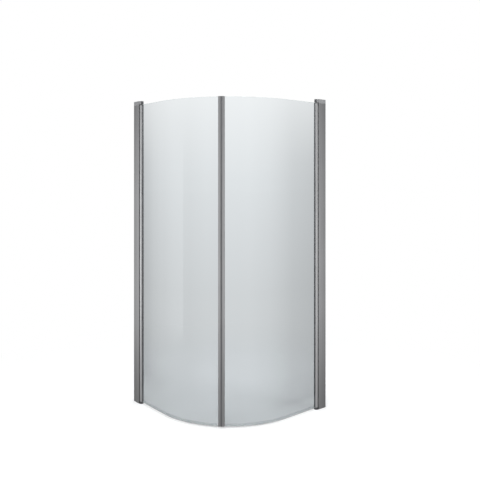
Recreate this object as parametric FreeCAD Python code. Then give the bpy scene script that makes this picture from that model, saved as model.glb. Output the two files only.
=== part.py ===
import FreeCAD, Part
import math
import os

from FreeCAD import Vector

# Curved corner shower screen. Two bent glass doors close off the corner between two walls. Each door is
# clamped in a stile that turns on a pin at its top and at its foot. The pins are held by a post, and the
# post slides in a channel that is screwed to the wall. The doors meet on the diagonal of the corner,
# where two magnetic seals hold them shut.
#
# Sizes are in millimetres. The model stands with +Z up on the floor, z = 0. The origin is on the floor,
# at the middle of the square that the screen takes up. One wall is the plane x = +half of that square,
# the other is y = +half of it, and the doors bulge towards -X and -Y.

# Overall size
SCREEN_SIZE = 900.0  # along either wall, from the corner to the outer face of the wall channel
SCREEN_HEIGHT = 2000.0  # floor to the top of the end caps
BEND_RADIUS = 540.0  # middle of the glass, in the bent stretch of each door

# Clearances
SNUG = 0.05  # between pieces that are pressed, clipped or glued together
RUNNING = 0.05  # between a pivot pin and its bush
AXIAL = 0.3  # end play of a door between its two pivots
CLEAR = 0.3  # between pieces that pass each other

# Glass pane
GLASS_THICKNESS = 6.0
GLASS_ARRIS = 0.8  # width of the flat that is ground along each edge
GLASS_RISE = 4.5  # above the top of the hinge stile

# Wall channel, a U that is open away from the wall
CHANNEL_WIDTH = 36.0
CHANNEL_DEPTH = 65.0
CHANNEL_WALL = 2.0
CHANNEL_CORNER = 1.0
WALL_HOLE_RADIUS = 2.75
WALL_HOLE_COUNT = 4
WALL_HOLE_END = 162.0  # outermost hole from each end of the channel

# Hinge post, a hollow bar in the channel
POST_WALL = 2.0
POST_SLIDE = 0.2  # each side, in the channel
ADJUSTMENT = 10.0  # room behind the post, to take up a wall that leans
POST_SETBACK = 10.5  # how far inside the channel's mouth the post ends
PORT_RADIUS = 1.7  # screw ports that run the length of the post
PORT_WALL = 1.8

# Screws that fix the post in the channel, and their snap-on covers, on the side inside the shower
FIX_SCREW_RADIUS = 1.9
FIX_SCREW_LENGTH = 10.0
FIX_SCREW_HOLE = 2.1
FIX_SCREW_COUNT = 3
FIX_SCREW_END = 240.0  # outermost screw from each end of the channel
FIX_SCREW_FROM_WALL = 30.0
FIX_HEAD_RADIUS = 3.6
FIX_HEAD_HEIGHT = 2.2
COVER_RADIUS = 6.0
COVER_HEIGHT = 4.0
COVER_WALL = 1.2

# End cap on top of the channel, with a round end over the pivot arm
CAP_HEIGHT = 26.0
CAP_WALL = 2.0
CAP_ROUND = 1.2
CAP_LUG_LENGTH = 15.0
CAP_LUG_WIDTH = 20.0

# Pivot arm at the top, pivot foot at the bottom, and the screws that hold them to the post
TONGUE_THICKNESS = 12.0  # of the stretch that lies on the post
ARM_STEP = 4.0  # underside of the arm's end above the top of the post
FOOT_HEIGHT = 8.0
ARM_SCREW_RADIUS = 1.65
ARM_SCREW_HOLE = 1.9
ARM_SCREW_GRIP = 16.0  # length of thread in the post
ARM_HEAD_RADIUS = 3.4
ARM_HEAD_HEIGHT = 2.4
ARM_HEAD_SEAT = 3.2  # depth of the seat that hides the head

# Pivot pins and their bushes
PIN_RADIUS = 2.5
PIN_REACH = 20.0  # past the end of the stile
PIN_COVER = 2.0  # metal left over the blind end of the pin's hole
BUSH_WALL = 1.0
BUSH_FLANGE = 2.5
BUSH_FLANGE_RADIUS = 6.4
BUSH_LENGTH = 25.0
PLUG_WALL = 1.2
PLUG_FLANGE = 3.0
PLUG_LENGTH = 30.0

# Hinge stile, a round bar with two jaws for the glass
BARREL_RADIUS = 12.4
BARREL_GAP = 2.6  # between the post and the round back of the stile
POCKET_FLOOR = 1.5  # between the bore and the pocket for the glass
JAW_REACH = 0.5  # how far the jaws stand out of the round
STILE_WALL = 1.6

# Gaskets that hold the glass in the stiles
GASKET_THICKNESS = 1.6
GASKET_BACK = 1.0  # under the edge of the glass
GASKET_LIP = 1.4  # length that shows past the stile
TRIM_WALL = 1.4  # of the hinge gasket, which folds back over the jaws
TRIM_CORNER = 1.2

# Soft strip on the end of the post, hollowed to the round back of the hinge stile
HINGE_SEAL_DEPTH = 4.5

# Meeting stile on the free edge of each door, measured along the bend from the diagonal of the corner
MEETING_GAP = 0.3  # between the two magnetic seals of a shut screen
SEAL_HEAD = 4.8  # length of the magnetic seal that shows
SEAL_TONGUE = 4.9  # length that is clipped in the stile
MEETING_WEB = 1.5
MEETING_POCKET = 6.8
MEETING_WALL = 2.2
MEETING_CORNER = 1.5
MEETING_FLOOR_GAP = 12.0
MEETING_CAP = 2.0
SEAL_HEAD_INSET = 0.4  # how much thinner the seal is than the stile
MAGNET_LENGTH = 5.8
MAGNET_THICKNESS = 6.0
MAGNET_SKIN = 1.0  # over the face of the magnet
MAGNET_SETBACK = 5.0  # from each end of the seal

# Sweep seal that clips on the bottom edge of the glass
SWEEP_WALL = 1.2
SWEEP_BASE = 1.8
SWEEP_CLIP = 12.0
SWEEP_FIN = 1.2
SWEEP_FIN_REACH = 5.0
SWEEP_FLOOR_GAP = 2.0
SWEEP_PASS = 1.0  # between its end and the wall channel when the door stands open

# Places along the side of the screen, measured from the wall
GLASS_LINE = SCREEN_SIZE - CHANNEL_WIDTH / 2  # corner to the middle of the glass, along the wall
BEND_START = GLASS_LINE - BEND_RADIUS
POST_BACK = CHANNEL_WALL + ADJUSTMENT
POST_END = CHANNEL_DEPTH - POST_SETBACK
BUSH_RADIUS = PIN_RADIUS + RUNNING + BUSH_WALL
STILE_BORE = BUSH_RADIUS + SNUG + PLUG_WALL + SNUG
PIVOT = POST_END + BARREL_GAP + BARREL_RADIUS
BARREL_END = PIVOT + BARREL_RADIUS
POCKET_START = PIVOT + STILE_BORE + POCKET_FLOOR
STILE_END = BARREL_END + JAW_REACH
TRIM_END = STILE_END + GASKET_LIP
GLASS_EDGE = POCKET_START + GASKET_BACK
PORT_INSET = POST_WALL + PORT_RADIUS + PORT_WALL / 2  # half of a port's wall runs into the post's wall
BACK_PORT = POST_BACK + PORT_INSET
FRONT_PORT = POST_END - PORT_INSET

# Half widths across the side of the screen
CHANNEL_HALF = CHANNEL_WIDTH / 2
SWEEP_START = PIVOT + CHANNEL_HALF + SWEEP_PASS
POST_HALF = CHANNEL_HALF - CHANNEL_WALL - POST_SLIDE
ARM_HALF = BARREL_RADIUS - CAP_WALL - CLEAR  # between the two cheeks of the cap's round end
GLASS_HALF = GLASS_THICKNESS / 2
POCKET_HALF = GLASS_HALF + GASKET_THICKNESS
STILE_HALF = POCKET_HALF + STILE_WALL
TRIM_HALF = STILE_HALF + TRIM_WALL
SWING_RADIUS = math.hypot(TRIM_END - PIVOT, TRIM_HALF)  # of the corners of the hinge gasket
MEETING_HALF = POCKET_HALF + MEETING_WALL

# Places along the bend, measured back from the diagonal of the corner
SEAL_FACE = MEETING_GAP / 2
MEETING_FACE = SEAL_FACE + SEAL_HEAD + SNUG
MEETING_WEB_FACE = MEETING_FACE + SEAL_TONGUE + SNUG
MEETING_POCKET_START = MEETING_WEB_FACE + MEETING_WEB
MEETING_BACK = MEETING_POCKET_START + MEETING_POCKET
GLASS_SETBACK = MEETING_POCKET_START + GASKET_BACK
SWEEP_END = MEETING_BACK + GASKET_LIP + CLEAR

# Heights
POST_TOP = SCREEN_HEIGHT - CAP_HEIGHT
CAP_CEILING = SCREEN_HEIGHT - CAP_WALL
TONGUE_TOP = POST_TOP + TONGUE_THICKNESS
ARM_UNDERSIDE = POST_TOP + ARM_STEP
ARM_TOP = CAP_CEILING - CLEAR
STILE_TOP = ARM_UNDERSIDE - AXIAL - BUSH_FLANGE - PLUG_FLANGE
STILE_BOTTOM = FOOT_HEIGHT + AXIAL + BUSH_FLANGE + PLUG_FLANGE
GLASS_TOP = STILE_TOP + GLASS_RISE

# The bench frame. One half of the screen is built with x away from the wall, y towards the outside of the
# shower and z up, and with y = 0 in the middle of the glass. It is then put in place on each wall.
BEND_CENTRE = Vector(BEND_START, -BEND_RADIUS, 0)
DIAGONAL_DEG = 45.0
SQUARE_DEG = 90.0
HALF_TURN_DEG = 180.0
UP = Vector(0, 0, 1)
ALONG = Vector(1, 0, 0)


def outline(corners):
    """Closed wire in the bench plane through corners (x, y, radius), each rounded by its radius."""
    runs = []
    for i, (x, y, radius) in enumerate(corners):
        corner = Vector(x, y, 0)
        before = Vector(*corners[i - 1][:2], 0).sub(corner).normalize()
        after = Vector(*corners[(i + 1) % len(corners)][:2], 0).sub(corner).normalize()
        if radius == 0:
            runs.append((corner, None, corner))
            continue
        half_angle = before.getAngle(after) / 2
        reach = radius / math.tan(half_angle)
        inwards = before.add(after).normalize()
        crown = corner.add(inwards.multiply(radius / math.sin(half_angle) - radius))
        runs.append((corner.add(before * reach), crown, corner.add(after * reach)))
    edges = []
    for i, (start, crown, end) in enumerate(runs):
        if crown is not None:
            edges.append(Part.Arc(start, crown, end).toShape())
        edges.append(Part.LineSegment(end, runs[(i + 1) % len(runs)][0]).toShape())
    return Part.Wire(edges)


def prism(wire, bottom, top):
    """Solid between two heights with this wire as its plan."""
    face = Part.Face(wire)
    face.translate(UP * bottom)
    return face.extrude(UP * (top - bottom))


def block(x0, x1, half_width, bottom, top):
    """Box across the middle of the glass."""
    return Part.makeBox(x1 - x0, 2 * half_width, top - bottom, Vector(x0, -half_width, bottom))


def upright(x, radius, bottom, top):
    """Upright cylinder in line with the glass."""
    return Part.makeCylinder(radius, top - bottom, Vector(x, 0, bottom), UP)


def crosswise(x, z, radius, y0, y1):
    """Cylinder that lies across the side of the screen."""
    return Part.makeCylinder(radius, y1 - y0, Vector(x, y0, z), Vector(0, 1, 0))


def bend_angle(setback):
    """Degrees round the bend of a place that lies this far along it from the diagonal."""
    return DIAGONAL_DEG + math.degrees(setback / BEND_RADIUS)


def bend_point(offset, angle):
    """Point on the bend, offset outwards from the middle of the glass."""
    turn = math.radians(angle)
    return BEND_CENTRE + Vector(math.cos(turn), math.sin(turn), 0) * (BEND_RADIUS + offset)


def bent_bar(near, far, half_width, bottom, top):
    """Solid that follows the bend between two distances from the diagonal."""
    first = bend_angle(near)
    last = bend_angle(far)
    middle = (first + last) / 2
    edges = [
        Part.Arc(*[bend_point(half_width, angle) for angle in (first, middle, last)]),
        Part.LineSegment(bend_point(half_width, last), bend_point(-half_width, last)),
        Part.Arc(*[bend_point(-half_width, angle) for angle in (last, middle, first)]),
        Part.LineSegment(bend_point(-half_width, first), bend_point(half_width, first)),
    ]
    return prism(Part.Wire([edge.toShape() for edge in edges]), bottom, top)


def upright_edges(shape, offset, setback):
    """Upright edges of a shape at this offset from the glass and distance from the diagonal."""
    place = bend_point(offset, bend_angle(setback))
    return [
        edge
        for edge in shape.Edges
        if all((Vector(v.X, v.Y, 0) - place).Length < SNUG for v in edge.Vertexes)
    ]


def spread(count, from_end):
    """Heights of an even row of holes, the outermost this far from the ends of the channel."""
    pitch = (POST_TOP - 2 * from_end) / (count - 1)
    return [from_end + i * pitch for i in range(count)]


def wall_channel():
    """U-shaped extrusion with a row of wall screw holes and a row of holes for the fixing screws."""
    outer = [
        (0, -CHANNEL_HALF, CHANNEL_CORNER),
        (CHANNEL_DEPTH, -CHANNEL_HALF, 0),
        (CHANNEL_DEPTH, CHANNEL_HALF, 0),
        (0, CHANNEL_HALF, CHANNEL_CORNER),
    ]
    channel = prism(outline(outer), 0, POST_TOP)
    inside = CHANNEL_HALF - CHANNEL_WALL
    channel = channel.cut(block(CHANNEL_WALL, CHANNEL_DEPTH, inside, 0, POST_TOP))
    for z in spread(WALL_HOLE_COUNT, WALL_HOLE_END):
        hole = Part.makeCylinder(WALL_HOLE_RADIUS, CHANNEL_WALL, Vector(0, 0, z), ALONG)
        channel = channel.cut(hole)
    for z in spread(FIX_SCREW_COUNT, FIX_SCREW_END):
        channel = channel.cut(crosswise(FIX_SCREW_FROM_WALL, z, FIX_SCREW_HOLE, -CHANNEL_HALF, -inside))
    return channel


def hinge_post():
    """Hollow extrusion that slides in the channel, with screw ports inside its back and its front."""
    span = (FOOT_HEIGHT, POST_TOP)
    outside = block(POST_BACK, POST_END, POST_HALF, *span)
    post = outside.cut(block(POST_BACK + POST_WALL, POST_END - POST_WALL, POST_HALF - POST_WALL, *span))
    for x in (BACK_PORT, FRONT_PORT):
        port = upright(x, PORT_RADIUS + PORT_WALL, *span)
        post = post.fuse(port.common(outside))
        post = post.cut(upright(x, PORT_RADIUS, *span))
    for z in spread(FIX_SCREW_COUNT, FIX_SCREW_END):
        hole = crosswise(FIX_SCREW_FROM_WALL, z, FIX_SCREW_RADIUS + SNUG, -POST_HALF, POST_WALL - POST_HALF)
        post = post.cut(hole)
    return post.removeSplitter()


def fixing_screws():
    """Pan-head screws through the inner leg of the channel into the post."""
    seat = -CHANNEL_HALF
    screws = []
    for z in spread(FIX_SCREW_COUNT, FIX_SCREW_END):
        head = crosswise(FIX_SCREW_FROM_WALL, z, FIX_HEAD_RADIUS, seat - FIX_HEAD_HEIGHT, seat)
        shank = crosswise(FIX_SCREW_FROM_WALL, z, FIX_SCREW_RADIUS, seat, seat + FIX_SCREW_LENGTH)
        screws.append(head.fuse(shank))
    return Part.makeCompound(screws)


def screw_covers():
    """Snap-on covers over the heads of the fixing screws."""
    seat = -CHANNEL_HALF
    top = seat - COVER_HEIGHT
    covers = []
    for z in spread(FIX_SCREW_COUNT, FIX_SCREW_END):
        cover = crosswise(FIX_SCREW_FROM_WALL, z, COVER_RADIUS, top, seat)
        rim = [edge for edge in cover.Edges if edge.Closed and abs(edge.CenterOfMass.y - top) < SNUG]
        cover = cover.makeFillet(COVER_WALL / 2, rim)
        hollow = crosswise(FIX_SCREW_FROM_WALL, z, COVER_RADIUS - COVER_WALL, top + COVER_WALL, seat)
        covers.append(cover.cut(hollow))
    return Part.makeCompound(covers)


def cap_corners(inset):
    """Corners of the end cap's plan over the channel, drawn in from its outside by inset."""
    half = CHANNEL_HALF - inset
    wall_corner = max(CHANNEL_CORNER - inset, 0)
    return [
        (inset, -half, wall_corner),
        (CHANNEL_DEPTH - inset, -half, 0),
        (CHANNEL_DEPTH - inset, half, 0),
        (inset, half, wall_corner),
    ]


def top_cap():
    """Moulded cap over the channel, with a lug that grips behind the post and a round end over the arm."""
    cap = prism(outline(cap_corners(0)), POST_TOP, SCREEN_HEIGHT)
    cap = cap.fuse(block(POST_END, PIVOT, BARREL_RADIUS, ARM_UNDERSIDE, SCREEN_HEIGHT))
    cap = cap.fuse(upright(PIVOT, BARREL_RADIUS, ARM_UNDERSIDE, SCREEN_HEIGHT)).removeSplitter()
    rim = [edge for edge in cap.Edges if edge.BoundBox.ZMin > SCREEN_HEIGHT - SNUG]
    cap = cap.makeFillet(CAP_ROUND, rim)
    cap = cap.cut(prism(outline(cap_corners(CAP_WALL)), POST_TOP, CAP_CEILING))
    cap = cap.cut(block(POST_END, BARREL_END, ARM_HALF + CLEAR, POST_TOP, CAP_CEILING))
    cap = cap.cut(upright(PIVOT, SWING_RADIUS + CLEAR, POST_TOP, ARM_UNDERSIDE))
    lug_front = POST_BACK - CLEAR
    lug = block(CHANNEL_WALL + CLEAR, lug_front, CAP_LUG_WIDTH / 2, POST_TOP - CAP_LUG_LENGTH, CAP_CEILING)
    return cap.fuse(lug).removeSplitter()


def upper_pivot_arm():
    """Arm that is screwed on top of the post and holds the upper pivot pin out over the stile."""
    tongue = block(POST_BACK, PIVOT, ARM_HALF, POST_TOP, TONGUE_TOP)
    end = block(POST_END, PIVOT, ARM_HALF, POST_TOP, ARM_TOP)
    tip = block(PIVOT, BARREL_END, ARM_HALF, POST_TOP, ARM_TOP)
    tip = tip.common(upright(PIVOT, BARREL_RADIUS, POST_TOP, ARM_TOP))
    arm = tongue.fuse(end).fuse(tip)
    arm = arm.cut(block(POST_END, BARREL_END, ARM_HALF, POST_TOP, ARM_UNDERSIDE))
    for x in (BACK_PORT, FRONT_PORT):
        arm = arm.cut(upright(x, ARM_SCREW_HOLE, POST_TOP, TONGUE_TOP))
        arm = arm.cut(upright(x, ARM_HEAD_RADIUS + CLEAR, TONGUE_TOP - ARM_HEAD_SEAT, TONGUE_TOP))
    arm = arm.cut(upright(PIVOT, PIN_RADIUS + SNUG, ARM_UNDERSIDE, ARM_TOP - PIN_COVER))
    return arm.removeSplitter()


def lower_pivot_foot():
    """Foot under the post that stands on the floor and holds the lower pivot pin."""
    foot = block(POST_BACK, PIVOT, POST_HALF, 0, FOOT_HEIGHT)
    foot = foot.fuse(upright(PIVOT, POST_HALF, 0, FOOT_HEIGHT))
    for x in (BACK_PORT, FRONT_PORT):
        foot = foot.cut(upright(x, ARM_SCREW_HOLE, 0, FOOT_HEIGHT))
        foot = foot.cut(upright(x, ARM_HEAD_RADIUS + CLEAR, 0, ARM_HEAD_SEAT))
    foot = foot.cut(upright(PIVOT, PIN_RADIUS + SNUG, PIN_COVER, FOOT_HEIGHT))
    return foot.removeSplitter()


def pivot_screws():
    """Screws that hold the arm on the top of the post and the foot under it."""
    seat = TONGUE_TOP - ARM_HEAD_SEAT
    screws = []
    for x in (BACK_PORT, FRONT_PORT):
        shank = upright(x, ARM_SCREW_RADIUS, POST_TOP - ARM_SCREW_GRIP, seat)
        head = upright(x, ARM_HEAD_RADIUS, seat, seat + ARM_HEAD_HEIGHT)
        screws.append(shank.fuse(head))
        shank = upright(x, ARM_SCREW_RADIUS, ARM_HEAD_SEAT, FOOT_HEIGHT + ARM_SCREW_GRIP)
        head = upright(x, ARM_HEAD_RADIUS, ARM_HEAD_SEAT - ARM_HEAD_HEIGHT, ARM_HEAD_SEAT)
        screws.append(shank.fuse(head))
    return Part.makeCompound(screws)


def upper_pivot_pin():
    """Steel pin from the arm down into the top of the stile."""
    return upright(PIVOT, PIN_RADIUS, STILE_TOP - PIN_REACH, ARM_TOP - PIN_COVER)


def lower_pivot_pin():
    """Steel pin from the foot up into the bottom of the stile."""
    return upright(PIVOT, PIN_RADIUS, PIN_COVER, STILE_BOTTOM + PIN_REACH)


def hinge_seal():
    """Soft strip on the end of the post that closes the slit beside the round back of the stile."""
    span = (STILE_BOTTOM, STILE_TOP)
    strip = block(POST_END, POST_END + HINGE_SEAL_DEPTH, POST_HALF, *span)
    return strip.cut(upright(PIVOT, BARREL_RADIUS + CLEAR, *span))


def stile_plan(half, end, corner, bottom, top):
    """Round back of the hinge stile and a squared glass side of this half width and end."""
    glass_side = [
        (PIVOT, -half, 0),
        (end, -half, corner),
        (end, half, corner),
        (PIVOT, half, 0),
    ]
    return prism(outline(glass_side), bottom, top).fuse(upright(PIVOT, BARREL_RADIUS, bottom, top))


def hinge_stile():
    """Round bar that turns on the pivot pins, with two jaws along it that take the glass."""
    span = (STILE_BOTTOM, STILE_TOP)
    stile = stile_plan(STILE_HALF, STILE_END, 0, *span)
    stile = stile.cut(upright(PIVOT, STILE_BORE, *span))
    stile = stile.cut(block(POCKET_START, STILE_END, POCKET_HALF, *span))
    return stile.removeSplitter()


def stile_plug(end, inwards):
    """Moulded plug in an end of the hinge stile, bored for the bush. Inwards is +1 or -1 along z."""
    flange = sorted((end, end - inwards * PLUG_FLANGE))
    body = sorted((end, end + inwards * PLUG_LENGTH))
    plug = stile_plan(TRIM_HALF, TRIM_END, TRIM_CORNER, *flange)
    plug = plug.fuse(upright(PIVOT, STILE_BORE - SNUG, *body))
    bore = sorted((*flange, *body))
    plug = plug.cut(upright(PIVOT, BUSH_RADIUS + SNUG, bore[0], bore[-1]))
    slot = block(GLASS_EDGE - SNUG, TRIM_END, GLASS_HALF + SNUG, STILE_BOTTOM, GLASS_TOP)
    return plug.cut(slot).removeSplitter()


def pivot_bush(end, inwards):
    """Flanged bush in a plug. Its flange carries the door against the arm or the foot."""
    seat = end - inwards * PLUG_FLANGE
    flange = sorted((seat, seat - inwards * BUSH_FLANGE))
    body = sorted((seat, seat + inwards * BUSH_LENGTH))
    bush = upright(PIVOT, BUSH_FLANGE_RADIUS, *flange).fuse(upright(PIVOT, BUSH_RADIUS, *body))
    bore = sorted((*flange, *body))
    return bush.cut(upright(PIVOT, PIN_RADIUS + RUNNING, bore[0], bore[-1])).removeSplitter()


def hinge_gasket():
    """Soft U between the glass and the jaws of the hinge stile. It folds back over them outside."""
    span = (STILE_BOTTOM, STILE_TOP)
    gasket = stile_plan(TRIM_HALF, TRIM_END, TRIM_CORNER, *span)
    gasket = gasket.cut(upright(PIVOT, BARREL_RADIUS + CLEAR, *span))
    gasket = gasket.cut(block(PIVOT, STILE_END + SNUG, STILE_HALF + SNUG, *span))
    gasket = gasket.fuse(block(POCKET_START + SNUG, TRIM_END, POCKET_HALF - SNUG, *span))
    return gasket.cut(block(GLASS_EDGE - SNUG, TRIM_END, GLASS_HALF + SNUG, *span)).removeSplitter()


def glass_pane():
    """Toughened pane: flat from the hinge stile to the bend, then bent round to the meeting stile."""
    last = bend_angle(GLASS_SETBACK)
    middle = (SQUARE_DEG + last) / 2
    edges = []
    for offset in (GLASS_HALF, -GLASS_HALF):
        start = Vector(BEND_START, offset, 0)
        edges.append(Part.LineSegment(Vector(GLASS_EDGE, offset, 0), start))
        edges.append(Part.Arc(start, bend_point(offset, middle), bend_point(offset, last)))
    edges.append(Part.LineSegment(bend_point(GLASS_HALF, last), bend_point(-GLASS_HALF, last)))
    edges.append(Part.LineSegment(Vector(GLASS_EDGE, GLASS_HALF, 0), Vector(GLASS_EDGE, -GLASS_HALF, 0)))
    wire = Part.Wire(Part.__sortEdges__([edge.toShape() for edge in edges]))
    pane = prism(wire, STILE_BOTTOM, GLASS_TOP)
    ends = [edge for edge in pane.Edges if edge.BoundBox.ZLength < SNUG]
    return pane.makeChamfer(GLASS_ARRIS, ends)


def meeting_stile():
    """H-shaped extrusion on the free edge of the glass. The magnetic seal clips in its other side."""
    span = (MEETING_FLOOR_GAP, GLASS_TOP)
    stile = bent_bar(MEETING_FACE, MEETING_BACK, MEETING_HALF, *span)
    corners = [
        edge
        for offset in (MEETING_HALF, -MEETING_HALF)
        for setback in (MEETING_FACE, MEETING_BACK)
        for edge in upright_edges(stile, offset, setback)
    ]
    stile = stile.makeFillet(min(MEETING_CORNER, MEETING_WALL - SNUG), corners)
    stile = stile.cut(bent_bar(MEETING_FACE - CLEAR, MEETING_WEB_FACE, POCKET_HALF, *span))
    return stile.cut(bent_bar(MEETING_POCKET_START, MEETING_BACK + CLEAR, POCKET_HALF, *span))


def meeting_gasket():
    """Soft U between the free edge of the glass and the meeting stile."""
    back = MEETING_BACK + GASKET_LIP
    span = (STILE_BOTTOM, GLASS_TOP)
    gasket = bent_bar(MEETING_POCKET_START + SNUG, back, POCKET_HALF - SNUG, *span)
    return gasket.cut(bent_bar(GLASS_SETBACK - SNUG, back + CLEAR, GLASS_HALF + SNUG, *span))


def magnet_seal():
    """Carrier of the magnet: a head that meets the other door and a tongue that clips in the stile."""
    span = (MEETING_FLOOR_GAP, GLASS_TOP)
    seal = bent_bar(SEAL_FACE, SEAL_FACE + SEAL_HEAD, MEETING_HALF - SEAL_HEAD_INSET, *span)
    tongue = bent_bar(SEAL_FACE + MAGNET_SKIN, MEETING_WEB_FACE - SNUG, POCKET_HALF - SNUG, *span)
    return seal.fuse(tongue).cut(magnet(SNUG, 0)).removeSplitter()


def magnet(play, setback):
    """Magnet bar, larger all round by play and short of the ends of the seal by setback."""
    near = SEAL_FACE + MAGNET_SKIN - play
    far = SEAL_FACE + MAGNET_SKIN + MAGNET_LENGTH + play
    half = MAGNET_THICKNESS / 2 + play
    return bent_bar(near, far, half, MEETING_FLOOR_GAP + setback, GLASS_TOP - setback)


def meeting_caps():
    """Flat end caps on the top and the bottom of the meeting stile and its seal."""
    ends = ((MEETING_FLOOR_GAP - MEETING_CAP, MEETING_FLOOR_GAP), (GLASS_TOP, GLASS_TOP + MEETING_CAP))
    return Part.makeCompound([bent_bar(SEAL_FACE, MEETING_BACK, MEETING_HALF, *end) for end in ends])


def bottom_sweep():
    """Clear strip that clips on the bottom edge of the glass and wipes the floor with a slanted fin."""
    slot = GLASS_HALF + CLEAR
    out = slot + SWEEP_WALL
    top = STILE_BOTTOM + SWEEP_CLIP
    seat = STILE_BOTTOM - SNUG
    base = seat - SWEEP_BASE
    section = [
        (out, top),
        (out, base),
        (SWEEP_FIN - out, base),
        (SWEEP_FIN - out - SWEEP_FIN_REACH, SWEEP_FLOOR_GAP),
        (-out - SWEEP_FIN_REACH, SWEEP_FLOOR_GAP),
        (-out, base),
        (-out, top),
        (-slot, top),
        (-slot, seat),
        (slot, seat),
        (slot, top),
    ]
    points = [Vector(BEND_START, y, z) for y, z in section]
    face = Part.Face(Part.makePolygon(points + points[:1]))
    straight = face.extrude(ALONG * (SWEEP_START - BEND_START))
    bent = face.revolve(BEND_CENTRE, UP, bend_angle(SWEEP_END) - SQUARE_DEG)
    return straight.fuse(bent).removeSplitter()


def on_right_wall(shape):
    """Moves a piece from the bench frame to the wall x = +half of the square."""
    placed = shape.copy()
    placed.rotate(Vector(0, 0, 0), UP, HALF_TURN_DEG)
    placed.translate(Vector(SCREEN_SIZE / 2, SCREEN_SIZE / 2 - GLASS_LINE, 0))
    return placed


def on_left_wall(shape):
    """The mirror image in the diagonal of the corner, on the wall y = +half of the square."""
    return on_right_wall(shape).mirror(Vector(0, 0, 0), Vector(1, -1, 0))


def half_screen():
    """Every piece of one half, under the name that its node gets after left_ or right_."""
    return {
        "wall_channel": wall_channel(),
        "hinge_post": hinge_post(),
        "fixing_screws": fixing_screws(),
        "screw_covers": screw_covers(),
        "top_cap": top_cap(),
        "upper_pivot_arm": upper_pivot_arm(),
        "lower_pivot_foot": lower_pivot_foot(),
        "pivot_screws": pivot_screws(),
        "upper_pivot_pin": upper_pivot_pin(),
        "lower_pivot_pin": lower_pivot_pin(),
        "hinge_seal": hinge_seal(),
        "hinge_stile": hinge_stile(),
        "upper_stile_plug": stile_plug(STILE_TOP, -1),
        "lower_stile_plug": stile_plug(STILE_BOTTOM, 1),
        "upper_pivot_bush": pivot_bush(STILE_TOP, -1),
        "lower_pivot_bush": pivot_bush(STILE_BOTTOM, 1),
        "hinge_gasket": hinge_gasket(),
        "glass_pane": glass_pane(),
        "meeting_stile": meeting_stile(),
        "meeting_gasket": meeting_gasket(),
        "magnet_seal": magnet_seal(),
        "magnet_strip": magnet(0, MAGNET_SETBACK),
        "meeting_caps": meeting_caps(),
        "bottom_sweep": bottom_sweep(),
    }


def main():
    os.makedirs("parts", exist_ok=True)
    for name, piece in half_screen().items():
        on_left_wall(piece).exportStep(f"parts/left_{name}.step")
        on_right_wall(piece).exportStep(f"parts/right_{name}.step")
        print(name, len(piece.Solids), "solids", round(piece.Volume), "mm3", "valid", piece.isValid())


main()
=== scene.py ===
import math

import bpy
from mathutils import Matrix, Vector


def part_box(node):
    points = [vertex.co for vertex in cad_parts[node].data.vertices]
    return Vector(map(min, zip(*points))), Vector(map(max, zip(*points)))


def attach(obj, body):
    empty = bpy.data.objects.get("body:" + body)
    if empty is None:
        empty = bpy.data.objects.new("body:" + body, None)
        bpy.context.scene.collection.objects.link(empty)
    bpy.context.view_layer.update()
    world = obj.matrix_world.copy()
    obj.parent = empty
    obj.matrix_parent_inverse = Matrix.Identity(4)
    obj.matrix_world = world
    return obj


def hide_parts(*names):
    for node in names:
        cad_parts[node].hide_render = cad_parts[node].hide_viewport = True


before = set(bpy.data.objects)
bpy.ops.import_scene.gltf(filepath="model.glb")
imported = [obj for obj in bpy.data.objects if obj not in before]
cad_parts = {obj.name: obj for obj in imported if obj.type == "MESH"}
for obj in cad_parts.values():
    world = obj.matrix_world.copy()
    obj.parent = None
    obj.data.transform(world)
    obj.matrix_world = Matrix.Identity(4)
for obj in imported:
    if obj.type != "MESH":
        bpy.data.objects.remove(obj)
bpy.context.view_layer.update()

SIDES = ("left", "right")

# Wall channels. Each is a U of extruded aluminium, anodised a satin grey and fixed by screws through its
# back. The die leaves fine lines along its length, and painted shade darkens it towards its back.
CHANNEL_DARK = (0.325, 0.327, 0.333, 1)
CHANNEL_LIGHT = (0.41, 0.412, 0.42, 1)
CHANNEL_MOUTH = 0.385  # from the middle of the screen, as its back is
CHANNEL_BACK = 0.45
BACK_PAINTED_SHADE = 0.72  # share of the colour left at the back, a painted shade
SATIN_ROUGHNESS = (0.34, 0.44)
LINE_STRETCH = (1, 1, 0.002)  # drawn out along the extrusion
LINE_SCALE = 700
LINE_DEPTH = 0.00004
SHEEN_STRETCH = (1, 1, 0.3)
SHEEN_SCALE = 9
SHEEN_DETAIL = 2.0
NOISE_LOW = 0.3  # a noise lies mostly between these two
NOISE_HIGH = 0.7


def new_finish(name):
    """Material with an empty node tree."""
    finish = bpy.data.materials.new(name)
    finish.use_nodes = True
    finish.node_tree.nodes.clear()
    return finish


def add(owner, kind, inputs, **settings):
    """Adds a node to a tree or to what owns one. Inputs go by name or number, each a value or an output."""
    tree = getattr(owner, "node_tree", owner)
    made = tree.nodes.new(kind)
    for name, value in settings.items():
        setattr(made, name, value)
    for name, value in inputs.items():
        if isinstance(value, bpy.types.NodeSocket):
            tree.links.new(value, made.inputs[name])
        else:
            made.inputs[name].default_value = value
    return made


def show(finish, shader):
    """Makes this shader the surface of the finish."""
    add(finish, "ShaderNodeOutputMaterial", {"Surface": shader.outputs[0]})
    return finish


def grain(finish, stretch, scale, detail=3.0):
    """Noise on the piece's own coordinates, from 0 to 1, stretched along the axes by stretch."""
    place = add(finish, "ShaderNodeTexCoord", {}).outputs["Object"]
    stretched = add(finish, "ShaderNodeMapping", {"Vector": place, "Scale": stretch}).outputs[0]
    noise = {"Vector": stretched, "Scale": scale, "Detail": detail}
    return add(finish, "ShaderNodeTexNoise", noise).outputs["Fac"]


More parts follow.
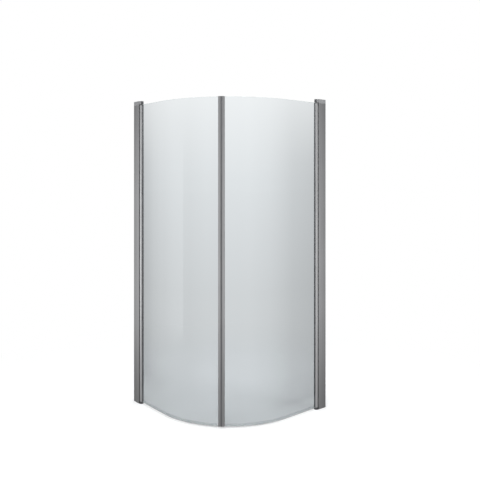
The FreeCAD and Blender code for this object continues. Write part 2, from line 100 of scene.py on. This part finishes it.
def between(finish, noise, low, high):
    """Brings a noise to the range from low to high."""
    limits = {"Value": noise, "From Min": NOISE_LOW, "From Max": NOISE_HIGH, "To Min": low, "To Max": high}
    return add(finish, "ShaderNodeMapRange", limits).outputs[0]


def ramp(owner, value, stops):
    """Colour that runs through these stops, each a place on the scale of value and a colour."""
    made = add(owner, "ShaderNodeValToRGB", {"Fac": value})
    while len(made.color_ramp.elements) < len(stops):
        made.color_ramp.elements.new(1.0)
    for stop, (place, colour) in zip(made.color_ramp.elements, stops):
        stop.position = place
        stop.color = colour
    return made.outputs["Color"]


def shade(finish, noise, dark, light):
    """Colour between dark and light, by a noise."""
    return ramp(finish, noise, [(NOISE_LOW, dark), (NOISE_HIGH, light)])


def bump(finish, height, depth):
    """Normal of a relief that is this deep, in metres."""
    relief = {"Height": height, "Distance": depth, "Strength": 1.0}
    return add(finish, "ShaderNodeBump", relief).outputs[0]


def towards_channel(finish):
    """How far a place lies from the middle of the screen towards the channel of its half, in metres."""
    place = add(finish, "ShaderNodeTexCoord", {}).outputs["Object"]
    axes = add(finish, "ShaderNodeSeparateXYZ", {"Vector": place}).outputs
    return add(finish, "ShaderNodeMath", {0: axes["X"], 1: axes["Y"]}, operation="MAXIMUM").outputs[0]


def satin_aluminium(name, dark, light, back_shade=1.0):
    """Anodised extrusion: fine lines along it, a slow drift in the sheen, and painted shade at its back."""
    finish = new_finish(name)
    lines = grain(finish, LINE_STRETCH, LINE_SCALE)
    sheen = grain(finish, SHEEN_STRETCH, SHEEN_SCALE, SHEEN_DETAIL)
    # painted shade: the colour darkens from the mouth of the channel to its back
    limits = {"Value": towards_channel(finish), "From Min": CHANNEL_MOUTH, "From Max": CHANNEL_BACK}
    limits |= {"To Min": 1.0, "To Max": back_shade}
    painted_shade = add(finish, "ShaderNodeMapRange", limits).outputs[0]
    colour = {0: shade(finish, lines, dark, light), "Scale": painted_shade}
    surface = {
        "Base Color": add(finish, "ShaderNodeVectorMath", colour, operation="SCALE").outputs[0],
        "Metallic": 1.0,
        "Roughness": between(finish, sheen, *SATIN_ROUGHNESS),
        "Normal": bump(finish, lines, LINE_DEPTH),
    }
    return show(finish, add(finish, "ShaderNodeBsdfPrincipled", surface))


def dress(names, finish):
    """Gives the finish to these nodes of both halves."""
    for side in SIDES:
        for name in names:
            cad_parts[f"{side}_{name}"].material_slots[0].material = finish


dress(["wall_channel"], satin_aluminium("channel_aluminium", CHANNEL_DARK, CHANNEL_LIGHT, BACK_PAINTED_SHADE))

# Hinge posts. A hollow extrusion of the same aluminium slides in each channel, so that the screen can be
# set plumb, and is locked there by screws. Little of it shows.
POST_DARK = (0.27, 0.272, 0.278, 1)
POST_LIGHT = (0.34, 0.342, 0.348, 1)
dress(["hinge_post"], satin_aluminium("post_aluminium", POST_DARK, POST_LIGHT))

# Screws and pivot pins. All are stainless steel, turned and then wiped clean, so they are bright with
# fine rings round them.
STEEL_DARK = (0.42, 0.42, 0.41, 1)
STEEL_LIGHT = (0.58, 0.58, 0.57, 1)
STEEL_ROUGHNESS = (0.18, 0.3)
RING_STRETCH = (0.02, 0.02, 1)  # close together along the length
RING_SCALE = 2500
RING_DEPTH = 0.00002


def turned_steel():
    """Stainless steel with the fine rings of the lathe along the length."""
    finish = new_finish("turned_steel")
    rings = grain(finish, RING_STRETCH, RING_SCALE)
    surface = {
        "Base Color": shade(finish, rings, STEEL_DARK, STEEL_LIGHT),
        "Metallic": 1.0,
        "Roughness": between(finish, rings, *STEEL_ROUGHNESS),
        "Normal": bump(finish, rings, RING_DEPTH),
    }
    return show(finish, add(finish, "ShaderNodeBsdfPrincipled", surface))


dress(["fixing_screws", "pivot_screws", "upper_pivot_pin", "lower_pivot_pin"], turned_steel())

# End caps and screw covers. They are moulded in a grey plastic to match the aluminium, with the fine
# grain of an etched mould.
CAP_DARK = (0.2, 0.202, 0.206, 1)
CAP_LIGHT = (0.25, 0.252, 0.257, 1)
CAP_ROUGHNESS = 0.5
EVEN = (1, 1, 1)  # a noise that is not drawn out
ETCH_SCALE = 1600
ETCH_DETAIL = 2.0
ETCH_DEPTH = 0.00006
ETCH_SPREAD = 0.06  # how far the roughness strays either way
PATCH_SCALE = 40


def moulding(name, dark, light, roughness):
    """Moulded plastic: a fine grain and slightly uneven colour."""
    finish = new_finish(name)
    etched = grain(finish, EVEN, ETCH_SCALE, ETCH_DETAIL)
    patches = grain(finish, EVEN, PATCH_SCALE)
    surface = {
        "Base Color": shade(finish, patches, dark, light),
        "Roughness": between(finish, etched, roughness - ETCH_SPREAD, roughness + ETCH_SPREAD),
        "Normal": bump(finish, etched, ETCH_DEPTH),
    }
    return show(finish, add(finish, "ShaderNodeBsdfPrincipled", surface))


dress(["top_cap", "screw_covers"], moulding("grey_moulding", CAP_DARK, CAP_LIGHT, CAP_ROUGHNESS))

# Pivot arms and feet. Zinc castings, painted a dark grey, are screwed to both ends of the post and hold
# the pivot pins. The paint has a slight orange peel.
CASTING_DARK = (0.05, 0.05, 0.053, 1)
CASTING_LIGHT = (0.07, 0.07, 0.074, 1)
PAINT_ROUGHNESS = (0.32, 0.46)
PAINT_SCALE = 60
PEEL_SCALE = 500
PEEL_DETAIL = 1.0
PEEL_DEPTH = 0.0001


def painted_casting():
    """Dark paint with the soft lumps of a sprayed coat."""
    finish = new_finish("painted_casting")
    peel = grain(finish, EVEN, PEEL_SCALE, PEEL_DETAIL)
    surface = {
        "Base Color": shade(finish, peel, CASTING_DARK, CASTING_LIGHT),
        "Roughness": between(finish, grain(finish, EVEN, PAINT_SCALE), *PAINT_ROUGHNESS),
        "Normal": bump(finish, peel, PEEL_DEPTH),
    }
    return show(finish, add(finish, "ShaderNodeBsdfPrincipled", surface))


dress(["upper_pivot_arm", "lower_pivot_foot"], painted_casting())

# Hinge stiles. Each is a round bar that turns on the pivot pins, with two jaws along it that take the
# glass. Its colour is lighter than the channel's, a painted highlight of the round bar.
# painted highlight: the same aluminium as the channel, given a lighter colour
STILE_DARK = (0.53, 0.532, 0.538, 1)
STILE_LIGHT = (0.65, 0.652, 0.658, 1)
dress(["hinge_stile"], satin_aluminium("stile_aluminium", STILE_DARK, STILE_LIGHT))

# Stile plugs, bushes and meeting caps. The plugs and caps are dark mouldings, and the bushes are turned
# from natural nylon, which runs on the steel without grease.
PLUG_DARK = (0.09, 0.09, 0.094, 1)
PLUG_LIGHT = (0.12, 0.12, 0.125, 1)
PLUG_ROUGHNESS = 0.48
NYLON_DARK = (0.66, 0.65, 0.62, 1)
NYLON_LIGHT = (0.74, 0.73, 0.7, 1)
NYLON_ROUGHNESS = 0.42
dark_moulding = moulding("dark_moulding", PLUG_DARK, PLUG_LIGHT, PLUG_ROUGHNESS)
natural_nylon = moulding("natural_nylon", NYLON_DARK, NYLON_LIGHT, NYLON_ROUGHNESS)
dress(["upper_stile_plug", "lower_stile_plug", "meeting_caps"], dark_moulding)
dress(["upper_pivot_bush", "lower_pivot_bush"], natural_nylon)

# Rubber strips. The gaskets that grip the glass and the strip that closes the hinge line are extruded in
# a soft grey rubber, dull, with the faint ribs of the die.
RUBBER_DARK = (0.21, 0.21, 0.215, 1)
RUBBER_LIGHT = (0.27, 0.27, 0.276, 1)
RUBBER_ROUGHNESS = 0.7
RIB_STRETCH = (1, 1, 0.01)
RIB_SCALE = 900
RIB_DETAIL = 1.0
RIB_DEPTH = 0.00008
BLOOM_STRETCH = (1, 1, 0.4)
BLOOM_SCALE = 25
BLOOM_SHINE = 0.08  # how much smoother a patch of bloom leaves the strip, and how much duller
BLOOM_DULL = 0.06


def extruded_rubber(name, dark, light, roughness):
    """Dull strip with faint ribs along it and a bloom in patches."""
    finish = new_finish(name)
    ribs = grain(finish, RIB_STRETCH, RIB_SCALE, RIB_DETAIL)
    bloom = grain(finish, BLOOM_STRETCH, BLOOM_SCALE)
    surface = {
        "Base Color": shade(finish, bloom, dark, light),
        "Roughness": between(finish, bloom, roughness - BLOOM_SHINE, roughness + BLOOM_DULL),
        "Normal": bump(finish, ribs, RIB_DEPTH),
    }
    return show(finish, add(finish, "ShaderNodeBsdfPrincipled", surface))


grey_rubber = extruded_rubber("grey_rubber", RUBBER_DARK, RUBBER_LIGHT, RUBBER_ROUGHNESS)
dress(["hinge_gasket", "meeting_gasket", "hinge_seal"], grey_rubber)

# Meeting stiles. An H of the same satin aluminium is glued on the free edge of each pane. It stiffens the
# edge and holds the magnetic seal.
MEETING_DARK = (0.38, 0.382, 0.388, 1)
MEETING_LIGHT = (0.46, 0.462, 0.47, 1)
dress(["meeting_stile"], satin_aluminium("meeting_aluminium", MEETING_DARK, MEETING_LIGHT))

# Magnetic seals. A grey vinyl carrier clips in each meeting stile, with a flexible magnet inside it that
# pulls the two doors together.
VINYL_DARK = (0.085, 0.085, 0.09, 1)
VINYL_LIGHT = (0.115, 0.115, 0.12, 1)
VINYL_ROUGHNESS = 0.5
MAGNET_DARK = (0.02, 0.02, 0.02, 1)
MAGNET_LIGHT = (0.035, 0.034, 0.033, 1)
MAGNET_ROUGHNESS = 0.75
dress(["magnet_seal"], extruded_rubber("grey_vinyl", VINYL_DARK, VINYL_LIGHT, VINYL_ROUGHNESS))
dress(["magnet_strip"], extruded_rubber("magnet_rubber", MAGNET_DARK, MAGNET_LIGHT, MAGNET_ROUGHNESS))

# Glass panes. Each is 6 mm toughened glass, flat from the hinge stile and then bent round to the diagonal
# of the corner. Its faces are clear with a cool grey tint, and its ground edges are pale with some green.
# Painted shade darkens that tint, most towards the bottom and towards the hinge.
BEND_RADIUS = 0.54
BEND_STEPS = 72
GLASS_HALF = 0.003
GLASS_ARRIS = 0.0008
GLASS_SETBACK = 0.01245  # free edge from the diagonal, along the bend
GLASS_IOR = 1.52
TINTS_WITH_PAINTED_SHADE = [  # one face's tint by height, darkened towards the bottom by painted shade
    (0.0, (0.74, 0.758, 0.767, 1)),
    (0.14, (0.781, 0.8, 0.81, 1)),
    (0.4, (0.792, 0.811, 0.821, 1)),
    (0.565, (0.823, 0.843, 0.854, 1)),
    (0.75, (0.861, 0.882, 0.893, 1)),
    (1.0, (0.95, 0.966, 0.973, 1)),
]
SHADE_START = -0.2  # from the middle of the screen, where a pane's painted shade starts towards its hinge
SHADE_END = 0.4
PAINTED_HINGE_SHADES = {  # what that painted shade leaves of the light, from its start to its end
    "left": [(0.0, 0.985), (0.15, 0.965), (0.35, 0.962), (0.58, 0.941), (0.72, 0.911), (0.94, 0.82)],
    "right": [(0.1, 1.0), (0.3, 0.972), (0.48, 0.928), (0.61, 0.893), (0.94, 0.85)],
}
SHADE_LIFTS = {  # how far that painted shade clears again, by height
    "left": [(0.0, 0.9), (0.03, 0.85), (0.07, 0.35), (0.1, 0.0), (0.8, 0.0), (1.0, 0.5)],
    "right": [(0.0, 0.65), (0.022, 0.55), (0.042, 0.0), (0.8, 0.0), (1.0, 0.5)],
}
MIRRORED = 0.04  # share of light that a face mirrors, seen square on
MIRRORED_RISE = 5.0  # power of the rise from there to a grazing angle
MIRROR_ROUGHNESS = 0.02
SHADOW_TINT = (0.95, 0.955, 0.957, 1)
EDGE_DARK = (0.6, 0.66, 0.65, 1)
EDGE_LIGHT = (0.69, 0.745, 0.735, 1)
EDGE_ROUGHNESS = (0.15, 0.3)
EDGE_SLOPE = 0.5  # upright part of a face's normal, above which the face is an edge
SCRATCH_SCALE = 900
SCRATCH_DEPTH = 0.00003
SHARP_ANGLE = 30
SAME_PLACE = 1e-6  # points closer than this are one


def greys(stops):
    """Grey colours for a ramp, from pairs of a place and a level."""
    return [(place, (level, level, level, 1)) for place, level in stops]


def clear_glass(side, bottom, top):
    """Thin-walled glass: a face tints what is behind it, darker by painted shade, and mirrors more at a
    slant.
    """
    finish = new_finish(f"{side}_clear_glass")
    place = add(finish, "ShaderNodeTexCoord", {}).outputs["Object"]
    height = add(finish, "ShaderNodeSeparateXYZ", {"Vector": place}).outputs["Z"]
    limits = {"Value": height, "From Min": bottom, "From Max": top}
    share = add(finish, "ShaderNodeMapRange", limits).outputs[0]
    # painted shade: the tint darkens towards the bottom
    tint_and_shade = ramp(finish, share, TINTS_WITH_PAINTED_SHADE)
    # painted shade: darker towards the hinge, cleared again near the top and the foot
    limits = {"Value": towards_channel(finish), "From Min": SHADE_START, "From Max": SHADE_END}
    along = add(finish, "ShaderNodeMapRange", limits).outputs[0]
    painted_hinge_shade = ramp(finish, along, greys(PAINTED_HINGE_SHADES[side]))
    lift = ramp(finish, share, greys(SHADE_LIFTS[side]))
    cleared = add(finish, "ShaderNodeMapRange", {"Value": lift, "To Min": painted_hinge_shade}).outputs[0]
    seen = add(finish, "ShaderNodeVectorMath", {0: tint_and_shade, "Scale": cleared}, operation="SCALE").outputs[0]
    facing = add(finish, "ShaderNodeLayerWeight", {"Blend": 0.5}).outputs["Facing"]
    steep = add(finish, "ShaderNodeMath", {0: facing, 1: MIRRORED_RISE}, operation="POWER").outputs[0]
    rise = {0: steep, 1: 1.0 - MIRRORED, 2: MIRRORED}
    mirrored = add(finish, "ShaderNodeMath", rise, operation="MULTIPLY_ADD").outputs[0]
    through = add(finish, "ShaderNodeBsdfTransparent", {"Color": seen})
    mirror = add(finish, "ShaderNodeBsdfAnisotropic", {"Roughness": MIRROR_ROUGHNESS})
    mixed = {0: mirrored, 1: through.outputs[0], 2: mirror.outputs[0]}
    pane = add(finish, "ShaderNodeMixShader", mixed)
    cast = add(finish, "ShaderNodeBsdfTransparent", {"Color": SHADOW_TINT})
    is_shadow = add(finish, "ShaderNodeLightPath", {}).outputs["Is Shadow Ray"]
    mixed = {0: is_shadow, 1: pane.outputs[0], 2: cast.outputs[0]}
    return show(finish, add(finish, "ShaderNodeMixShader", mixed))


def ground_edge():
    """The edge of a pane, where light comes out after a long way through the glass."""
    finish = new_finish("ground_edge")
    scratches = grain(finish, EVEN, SCRATCH_SCALE)
    surface = {
        "Base Color": shade(finish, scratches, EDGE_DARK, EDGE_LIGHT),
        "Roughness": between(finish, scratches, *EDGE_ROUGHNESS),
        "Normal": bump(finish, scratches, SCRATCH_DEPTH),
        "IOR": GLASS_IOR,
    }
    return show(finish, add(finish, "ShaderNodeBsdfPrincipled", surface))


def outline(name, points, closed):
    """Curve of straight runs through these points."""
    curve = bpy.data.curves.new(name, "CURVE")
    curve.dimensions = "3D"
    run = curve.splines.new("POLY")
    run.points.add(len(points) - 1)
    for point, place in zip(run.points, points):
        point.co = (*place, 1)
    run.use_cyclic_u = closed
    made = bpy.data.objects.new(name, curve)
    bpy.context.scene.collection.objects.link(made)
    return made


def bent_strip_tree():
    """Nodes that round the corner of a path, draw a section along it and dress faces and edges."""
    tree = bpy.data.node_groups.new("bent_strip", "GeometryNodeTree")
    sockets = {"Path": "Geometry", "Section": "Object", "Bend radius": "Float", "Bend steps": "Int"}
    sockets |= {"Face finish": "Material", "Edge finish": "Material"}
    for name, kind in sockets.items():
        tree.interface.new_socket(name=name, in_out="INPUT", socket_type=f"NodeSocket{kind}")
    tree.interface.new_socket(name="Strip", in_out="OUTPUT", socket_type="NodeSocketGeometry")
    given = add(tree, "NodeGroupInput", {}).outputs
    rounding = {"Curve": given["Path"], "Radius": given["Bend radius"], "Count": given["Bend steps"]}
    path = add(tree, "GeometryNodeFilletCurve", rounding | {"Limit Radius": False}, mode="POLY")
    level = add(tree, "GeometryNodeSetCurveNormal", {"Curve": path.outputs[0]}, mode="Z_UP")
    section = add(tree, "GeometryNodeObjectInfo", {"Object": given["Section"]})
    drawn = {"Curve": level.outputs[0], "Profile Curve": section.outputs["Geometry"], "Fill Caps": True}
    strip = add(tree, "GeometryNodeCurveToMesh", drawn)
    whole = add(tree, "GeometryNodeMergeByDistance", {"Geometry": strip.outputs[0], "Distance": SAME_PLACE})
    normal = add(tree, "GeometryNodeInputNormal", {})
    slope = add(tree, "ShaderNodeSeparateXYZ", {"Vector": normal.outputs["Normal"]})
    steepness = add(tree, "ShaderNodeMath", {0: slope.outputs["Z"]}, operation="ABSOLUTE")
    steep = {0: steepness.outputs[0], 1: EDGE_SLOPE}
    is_edge = add(tree, "FunctionNodeCompare", steep, operation="GREATER_THAN")
    real = add(tree, "GeometryNodeRealizeInstances", {"Geometry": whole.outputs[0]})
    on_face = {"Geometry": real.outputs[0], "Material": given["Face finish"]}
    faces = add(tree, "GeometryNodeSetMaterial", on_face)
    on_edge = {"Geometry": faces.outputs[0], "Selection": is_edge.outputs[0]}
    edges = add(tree, "GeometryNodeSetMaterial", on_edge | {"Material": given["Edge finish"]})
    add(tree, "NodeGroupOutput", {"Strip": edges.outputs[0]})
    return tree


def bent_strip(tree, side, name, section, start, line, setback, finishes):
    """Draws a section along one door, from start on the line of the glass to setback from the diagonal."""
    centre = line + BEND_RADIUS
    turn = math.radians(45) - setback / BEND_RADIUS
    corner = centre - BEND_RADIUS * math.tan(turn / 2)
    free = (centre - BEND_RADIUS * math.sin(turn), centre - BEND_RADIUS * math.cos(turn))
    points = [(start, line, 0), (corner, line, 0), (*free, 0)]
    if side == "left":
        points = [(y, x, z) for x, y, z in reversed(points)]
    path = outline(f"{side}_path", points, False)
    profile = outline(f"{side}_section", [(-out, -up, 0) for out, up in section], True)
    drawn = path.modifiers.new("bent strip", "NODES")
    drawn.node_group = tree
    given = {"Section": profile, "Bend radius": BEND_RADIUS, "Bend steps": BEND_STEPS}
    given |= {"Face finish": finishes[0], "Edge finish": finishes[1]}
    for socket in tree.interface.items_tree:
        if socket.name in given:
            drawn[socket.identifier] = given[socket.name]
    shape = bpy.data.meshes.new_from_object(path.evaluated_get(bpy.context.evaluated_depsgraph_get()))
    shape.polygons.foreach_set("use_smooth", [True] * len(shape.polygons))
    shape.set_sharp_from_angle(angle=math.radians(SHARP_ANGLE))
    piece = bpy.data.objects.new(f"{side}_{name}", shape)
    bpy.context.scene.collection.objects.link(piece)
    bpy.data.objects.remove(path)
    bpy.data.objects.remove(profile)
    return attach(piece, f"{side}_door")


pane_low, pane_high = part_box("right_glass_pane")
glass_line = pane_low.y + GLASS_HALF
pane_section = [
    (GLASS_HALF - GLASS_ARRIS, pane_low.z),
    (GLASS_HALF, pane_low.z + GLASS_ARRIS),
    (GLASS_HALF, pane_high.z - GLASS_ARRIS),
    (GLASS_HALF - GLASS_ARRIS, pane_high.z),
    (GLASS_ARRIS - GLASS_HALF, pane_high.z),
    (-GLASS_HALF, pane_high.z - GLASS_ARRIS),
    (-GLASS_HALF, pane_low.z + GLASS_ARRIS),
    (GLASS_ARRIS - GLASS_HALF, pane_low.z),
]
strip_tree = bent_strip_tree()
pane_edge = ground_edge()
for side in SIDES:
    finishes = (clear_glass(side, pane_low.z, pane_high.z), pane_edge)
    pane = bent_strip(
        strip_tree, side, "pane", pane_section, pane_high.x, glass_line, GLASS_SETBACK, finishes
    )
    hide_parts(f"{side}_glass_pane")

# Bottom sweeps. A strip of clear soft vinyl clips on the bottom edge of each pane and wipes the floor with
# a slanted fin, so that water stays inside.
SWEEP_WALL = 0.0012
SWEEP_SLOT = 0.0033  # half of the slot that takes the glass
SWEEP_SEAT = 0.00005  # play under the glass
SWEEP_BASE = 0.0018
SWEEP_FIN = 0.0012
SWEEP_REACH = 0.005  # how far the fin leans
SWEEP_SETBACK = 0.01995  # free end from the diagonal, along the bend
SWEEP_CLEAR = (0.99, 0.992, 0.992, 1)
SWEEP_DARK = (0.46, 0.465, 0.47, 1)
SWEEP_LIGHT = (0.54, 0.545, 0.55, 1)
SWEEP_ROUGHNESS = (0.2, 0.34)
CLIP_BODY = 0.02  # share of light that a face of the thin clip stops
FIN_BODY = 0.4
CLOUD_SCALE = 60
RIPPLE_STRETCH = (1, 1, 4)
RIPPLE_SCALE = 300
RIPPLE_DETAIL = 1.0
RIPPLE_DEPTH = 0.0001


def clear_vinyl(seat):
    """Soft clear strip, cloudy in patches. Its solid base and fin let less light through than the clip."""
    finish = new_finish("clear_vinyl")
    cloud = grain(finish, EVEN, CLOUD_SCALE)
    ripple = grain(finish, RIPPLE_STRETCH, RIPPLE_SCALE, RIPPLE_DETAIL)
    surface = {
        "Base Color": shade(finish, cloud, SWEEP_DARK, SWEEP_LIGHT),
        "Roughness": between(finish, cloud, *SWEEP_ROUGHNESS),
        "Normal": bump(finish, ripple, RIPPLE_DEPTH),
    }
    body = add(finish, "ShaderNodeBsdfPrincipled", surface)
    through = add(finish, "ShaderNodeBsdfTransparent", {"Color": SWEEP_CLEAR})
    place = add(finish, "ShaderNodeTexCoord", {}).outputs["Object"]
    height = add(finish, "ShaderNodeSeparateXYZ", {"Vector": place}).outputs["Z"]
    limits = {"Value": height, "From Min": seat, "From Max": seat + SWEEP_BASE}
    limits |= {"To Min": FIN_BODY, "To Max": CLIP_BODY}
    stopped = add(finish, "ShaderNodeMapRange", limits).outputs[0]
    mixed = {0: stopped, 1: through.outputs[0], 2: body.outputs[0]}
    return show(finish, add(finish, "ShaderNodeMixShader", mixed))


sweep_low, sweep_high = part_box("right_bottom_sweep")
sweep_out = SWEEP_SLOT + SWEEP_WALL
sweep_seat = pane_low.z - SWEEP_SEAT
sweep_base = sweep_seat - SWEEP_BASE
sweep_section = [
    (-sweep_out, sweep_base),
    (-sweep_out - SWEEP_REACH, sweep_low.z),
    (SWEEP_FIN - sweep_out - SWEEP_REACH, sweep_low.z),
    (SWEEP_FIN - sweep_out, sweep_base),
    (sweep_out, sweep_base),
    (sweep_out, sweep_high.z),
    (SWEEP_SLOT, sweep_high.z),
    (SWEEP_SLOT, sweep_seat),
    (-SWEEP_SLOT, sweep_seat),
    (-SWEEP_SLOT, sweep_high.z),
    (-sweep_out, sweep_high.z),
]
vinyl = clear_vinyl(sweep_seat)
for side in SIDES:
    sweep = bent_strip(
        strip_tree, side, "sweep", sweep_section, sweep_high.x, glass_line, SWEEP_SETBACK, (vinyl, vinyl)
    )
    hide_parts(f"{side}_bottom_sweep")

# The stage. A pale floor keeps the shadow near the screen and runs out to plain white, in a white surround.
# Soft lamps light it from the front and above, and the panes mirror a pale panel beside the screen. What
# the metal mirrors is brightest at eye height.
FLOOR_SIZE = 120.0
FLOOR_NEAR = 0.6
FLOOR_FAR = 2.2
FLOOR_DARK = (0.75, 0.75, 0.75, 1)
FLOOR_LIGHT = (0.77, 0.77, 0.77, 1)
FLOOR_SCALE = 5
FLOOR_GLOW = 0.27
MIRRORED_NEAR = 0.4
MIRRORED_FAR = 4.0
MIRRORED_FLOOR = 0.46  # of the floor beside the screen, in the metal
WHITE = (1, 1, 1, 1)
SKY = (0.96, 0.98, 1.0, 1)
SKY_LIGHT = 0.62
SKY_LOW = -0.1  # just below eye height
SKY_HIGH = 0.5  # half way up
MIRRORED_SKY = [(0.0, 1.2), (0.2, 1.05), (0.4, 0.42), (1.0, 0.3)]  # in the metal, from low to high
LAMPS = {  # place, what it is aimed at, size and power
    "front_lamp": ((-3.2, -2.2, 3.6), (0, 0, 0.9), 2.4, 90),
    "side_lamp": ((1.8, -3.6, 2.6), (0, 0, 1.0), 1.8, 45),
    "top_lamp": ((-0.4, -0.4, 4.6), (0, 0, 0), 2.2, 60),
}
PANEL_PLACE = (-1.59, 1.07, 1.0)
PANEL_AIM = (-0.706, 0.602, 1.0)
PANEL_WIDTH = 1.41
PANEL_HEIGHT = 1.95
PANEL_POWER = 8.0
PANEL_UPWARD = [(0.0, 0.0), (0.1, 1.0), (0.75, 0.8), (1.0, 0.0)]  # how bright it is, end to end


def pale_floor():
    """Matt floor near the object, plain white further out."""
    finish = new_finish("pale_floor")
    matt_colour = shade(finish, grain(finish, EVEN, FLOOR_SCALE), FLOOR_DARK, FLOOR_LIGHT)
    matt = add(finish, "ShaderNodeBsdfDiffuse", {"Color": matt_colour})
    glow = add(finish, "ShaderNodeEmission", {"Color": WHITE, "Strength": FLOOR_GLOW})
    near = add(finish, "ShaderNodeAddShader", {0: matt.outputs[0], 1: glow.outputs[0]})
    far = add(finish, "ShaderNodeEmission", {"Color": WHITE})
    place = add(finish, "ShaderNodeTexCoord", {}).outputs["Object"]
    reach = add(finish, "ShaderNodeVectorMath", {0: place}, operation="LENGTH").outputs["Value"]
    limits = {"Value": reach, "From Min": FLOOR_NEAR, "From Max": FLOOR_FAR}
    share = add(finish, "ShaderNodeMapRange", limits, interpolation_type="SMOOTHSTEP").outputs[0]
    plain = add(finish, "ShaderNodeMixShader", {0: share, 1: near.outputs[0], 2: far.outputs[0]})
    limits = {"Value": reach, "From Min": MIRRORED_NEAR, "From Max": MIRRORED_FAR, "To Min": MIRRORED_FLOOR}
    level = add(finish, "ShaderNodeMapRange", limits, interpolation_type="SMOOTHSTEP").outputs[0]
    in_metal = add(finish, "ShaderNodeEmission", {"Color": WHITE, "Strength": level})
    is_glossy = add(finish, "ShaderNodeLightPath", {}).outputs["Is Glossy Ray"]
    mixed = {0: is_glossy, 1: plain.outputs[0], 2: in_metal.outputs[0]}
    return show(finish, add(finish, "ShaderNodeMixShader", mixed))


bpy.ops.mesh.primitive_plane_add(size=FLOOR_SIZE)
floor = bpy.context.object
floor.name = "floor"
floor.data.materials.append(pale_floor())


def white_surround():
    """World that is white to the eye and through glass, lights softly, and is graded in the metal."""
    world = bpy.data.worlds.new("surround")
    world.use_nodes = True
    world.node_tree.nodes.clear()
    path = add(world, "ShaderNodeLightPath", {}).outputs
    direct = {0: path["Is Camera Ray"], 1: path["Is Transmission Ray"]}
    is_direct = add(world, "ShaderNodeMath", direct, operation="MAXIMUM").outputs[0]
    place = add(world, "ShaderNodeTexCoord", {}).outputs["Object"]
    upward = add(world, "ShaderNodeSeparateXYZ", {"Vector": place}).outputs["Z"]
    limits = {"Value": upward, "From Min": SKY_LOW, "From Max": SKY_HIGH}
    height = add(world, "ShaderNodeMapRange", limits).outputs[0]
    in_metal = add(world, "ShaderNodeBackground", {"Color": ramp(world, height, greys(MIRRORED_SKY))})
    light = add(world, "ShaderNodeBackground", {"Color": SKY, "Strength": SKY_LIGHT})
    white = add(world, "ShaderNodeBackground", {"Color": WHITE})
    mixed = {0: path["Is Glossy Ray"], 1: light.outputs[0], 2: in_metal.outputs[0]}
    around = add(world, "ShaderNodeMixShader", mixed)
    surround = add(world, "ShaderNodeMixShader", {0: is_direct, 1: around.outputs[0], 2: white.outputs[0]})
    add(world, "ShaderNodeOutputWorld", {"Surface": surround.outputs[0]})
    return world


bpy.context.scene.world = white_surround()


def soft_lamp(name, place, aim, size, power):
    """Square area lamp turned towards a point. Its own shape shows in no mirror."""
    lamp = bpy.data.lights.new(name, "AREA")
    lamp.size = size
    lamp.energy = power
    made = bpy.data.objects.new(name, lamp)
    made.location = place
    made.rotation_euler = (Vector(aim) - Vector(place)).to_track_quat("-Z", "Y").to_euler()
    made.visible_camera = False
    made.visible_glossy = False
    bpy.context.scene.collection.objects.link(made)
    return made


def pale_panel():
    """Tall lamp that the panes mirror. It fades to its back and its ends, and its front edge is sharp."""
    made = soft_lamp("panel_lamp", PANEL_PLACE, PANEL_AIM, PANEL_WIDTH, PANEL_POWER)
    made.visible_glossy = True
    lamp = made.data
    lamp.shape = "RECTANGLE"
    lamp.size_y = PANEL_HEIGHT
    lamp.use_nodes = True
    lamp.node_tree.nodes.clear()
    place = add(lamp, "ShaderNodeNewGeometry", {}).outputs["Parametric"]
    axes = add(lamp, "ShaderNodeSeparateXYZ", {"Vector": place}).outputs
    upward = ramp(lamp, axes["Y"], greys(PANEL_UPWARD))
    level = add(lamp, "ShaderNodeMath", {0: axes["X"], 1: upward}, operation="MULTIPLY").outputs[0]
    glow = add(lamp, "ShaderNodeEmission", {"Color": WHITE, "Strength": level})
    add(lamp, "ShaderNodeOutputLight", {"Surface": glow.outputs[0]})


for name, (place, aim, size, power) in LAMPS.items():
    soft_lamp(name, place, aim, size, power)
pale_panel()

# The camera. It stands level at eye height, as the upright edges in the photograph stay parallel, and its
# frame is shifted down to take in the foot of the screen.
CAMERA_PLACE = (-2.4962, -3.098, 1.4851)
CAMERA_TURN = 39.96
FOCAL_PIXELS = 602.35
HORIZON_ROW = 178.96
IMAGE_SIZE = 480
SENSOR_WIDTH = 36.0
camera = bpy.data.cameras.new("camera")
camera.sensor_width = SENSOR_WIDTH
camera.lens = FOCAL_PIXELS * SENSOR_WIDTH / IMAGE_SIZE
camera.shift_y = HORIZON_ROW / IMAGE_SIZE - 0.5
camera_stand = bpy.data.objects.new("camera", camera)
camera_stand.location = CAMERA_PLACE
camera_stand.rotation_euler = (math.radians(90), 0, -math.radians(CAMERA_TURN))
bpy.context.scene.collection.objects.link(camera_stand)
bpy.context.scene.camera = camera_stand
bpy.context.scene.view_settings.view_transform = "Standard"
